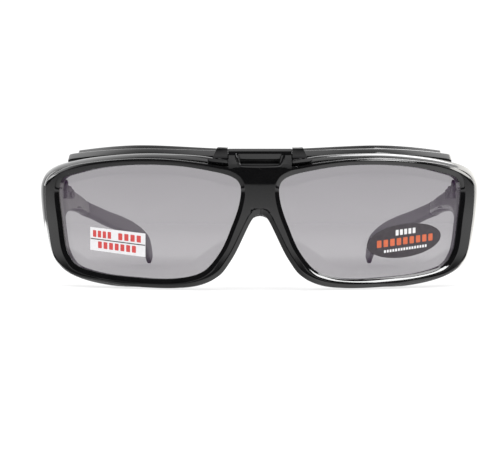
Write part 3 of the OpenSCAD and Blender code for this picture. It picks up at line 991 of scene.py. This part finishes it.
def build_world():
    """White to the camera and as soft light. In reflections: a bright low band in
    front, dark above it and bright again overhead, a light table below and a bright
    wall behind."""
    world = bpy.data.worlds.new("studio")
    bpy.context.scene.world = world
    world.use_nodes = True
    nodes, links = world.node_tree.nodes, world.node_tree.links
    soft = nodes["Background"]
    soft.inputs["Color"].default_value = (1, 1, 1, 1)
    soft.inputs["Strength"].default_value = 1.1
    coords = nodes.new("ShaderNodeTexCoord")
    split = nodes.new("ShaderNodeSeparateXYZ")
    links.new(coords.outputs["Generated"], split.inputs["Vector"])
    height = nodes.new("ShaderNodeMapRange")
    height.inputs["From Min"].default_value = -1
    links.new(split.outputs["Z"], height.inputs["Value"])
    level = height.outputs["Result"]

    def fade(axis, low, high, a, b):
        """From a to b while a direction's axis goes from low to high."""
        at = nodes.new("ShaderNodeMapRange")
        at.inputs["From Min"].default_value = low
        at.inputs["From Max"].default_value = high
        links.new(split.outputs[axis], at.inputs["Value"])
        blend = nodes.new("ShaderNodeMix")
        blend.data_type = "RGBA"
        links.new(at.outputs["Result"], blend.inputs["Factor"])
        links.new(a, blend.inputs["A"])
        links.new(b, blend.inputs["B"])
        return blend.outputs["Result"]

    ahead = fade("X", -0.35, 0.15, level_ramp(nodes, links, level, FRONT_LEFT),
                 level_ramp(nodes, links, level, FRONT_RIGHT))
    around = fade("Y", -0.05, 0.25, ahead, level_ramp(nodes, links, level, BACK_LEVELS))
    seen = nodes.new("ShaderNodeBackground")
    seen.inputs["Strength"].default_value = BRIGHTEST
    links.new(around, seen.inputs["Color"])
    path = nodes.new("ShaderNodeLightPath")
    mix = nodes.new("ShaderNodeMixShader")
    links.new(path.outputs["Is Glossy Ray"], mix.inputs["Fac"])
    links.new(soft.outputs["Background"], mix.inputs[1])
    links.new(seen.outputs["Background"], mix.inputs[2])
    links.new(mix.outputs["Shader"], nodes["World Output"].inputs["Surface"])


# Elevation in degrees and brightness, from the table up to overhead
HORIZON = [(-7, 0.02), (-2.8, 0.02), (-2.3, 1.3), (0.5, 1.3), (2.4, 0.8), (3.3, 0.6),
           (3.7, 0.02)]
ZENITH = [(64, 0.02), (72, 0.7), (78, 1.5), (90, 1.7)]
FRONT_LEFT = [(-90, 0.8), (-50, 0.8), (-10, 0.6)] + HORIZON + ZENITH
FRONT_RIGHT = [(-90, 1.4), (-50, 1.6), (-10, 1.6)] + HORIZON + ZENITH
BACK_LEVELS = [(-90, 0.6), (-20, 0.5), (-14, 1.2), (12, 1.2), (20, 2.0), (48, 2.2),
               (60, 1.7), (70, 1.4), (90, 1.7)]


def build_studio():
    """A white studio: the world, a floor, the cards and one soft lamp overhead."""
    scene = bpy.context.scene
    scene.view_settings.view_transform = "Standard"
    scene.view_settings.look = "None"
    build_world()
    mesh = bpy.data.meshes.new("floor")
    mesh.from_pydata([(-8, -8, 0), (8, -8, 0), (8, 30, 0), (-8, 30, 0)], [], [(0, 1, 2, 3)])
    floor = bpy.data.objects.new("floor", mesh)
    floor.location.z = -0.0002
    scene.collection.objects.link(floor)
    m, nodes, _ = new_material("floor")
    b = nodes["Principled BSDF"]
    b.inputs["Base Color"].default_value = (0.3, 0.3, 0.3, 1)
    b.inputs["Roughness"].default_value = 0.9
    b.inputs["Specular IOR Level"].default_value = 0
    b.inputs["Emission Color"].default_value = (1, 1, 1, 1)
    b.inputs["Emission Strength"].default_value = 0.78
    mesh.materials.append(m)
    floor.visible_glossy = False

    # Cards: two soft boxes to the right, a high one and a large one further behind, a dim
    # one that darkens what is high behind, and a low one and a sliver to the left
    card("card_box_right", (42, 64), (30, 53), (22, 24))
    card("card_box_high", (68, 94), (48, 64), (9, 6))
    card("card_top_right", (134, 162), (36, 68), (8, 8))
    card("card_shade_behind", (163, 197), (54, 76), (0.5, 0.5))
    card("card_side_right", (96, 155), (-20, 36), (8, 1.5), (1, 0.985, 0.95))
    card("card_low_left", (-155, -90), (-22, -2), (3, 7))
    card("card_strip_left", (-104, -93), (6, 26), (7, 7))

    light = bpy.data.lights.new("key", "AREA")
    light.energy = 16
    light.shape = "RECTANGLE"
    light.size, light.size_y = 1.8, 1.4
    lamp = bpy.data.objects.new("key", light)
    lamp.location = (0.1, -0.1, 1.4)
    scene.collection.objects.link(lamp)
    lamp.visible_glossy = False


def build_camera():
    """The photograph's camera."""
    cam = bpy.data.cameras.new("camera")
    obj = bpy.data.objects.new("camera", cam)
    bpy.context.scene.collection.objects.link(obj)
    # In front of the bridge, level, at about the middle of the lenses
    aside, back, height = -0.00073, 0.2497, 0.0211
    obj.location = (aside, -DEPTH / 2000 - back, height)
    obj.rotation_euler = (math.pi / 2, 0, 0)
    cam.sensor_width = 36
    # The focal length is 1.596 times the picture's width
    cam.lens = 1.596 * cam.sensor_width
    cam.shift_x = -0.0154
    cam.shift_y = -0.004
    cam.clip_start = 0.01
    cam.dof.use_dof = False
    bpy.context.scene.camera = obj


def dress_cad_nodes():
    """CAD nodes that stay in view get the finished materials."""
    paired = ("temple_hinge_front", "temple_hinge_rear", "temple_screw", "front_leaf_rivets",
              "rear_leaf_rivets")
    names = [f"{name}_{side}" for name in paired for side in ("left", "right")]
    for name in ["hinge_pin", "detent_spring"] + names:
        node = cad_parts[name]
        node.data.materials.clear()
        node.data.materials.append(STEEL)


build_camera()
build_studio()
build_rims()
build_block()
build_ears()
build_brow()
build_end_pieces()
build_temples()
build_lenses()
build_labels()
dress_cad_nodes()
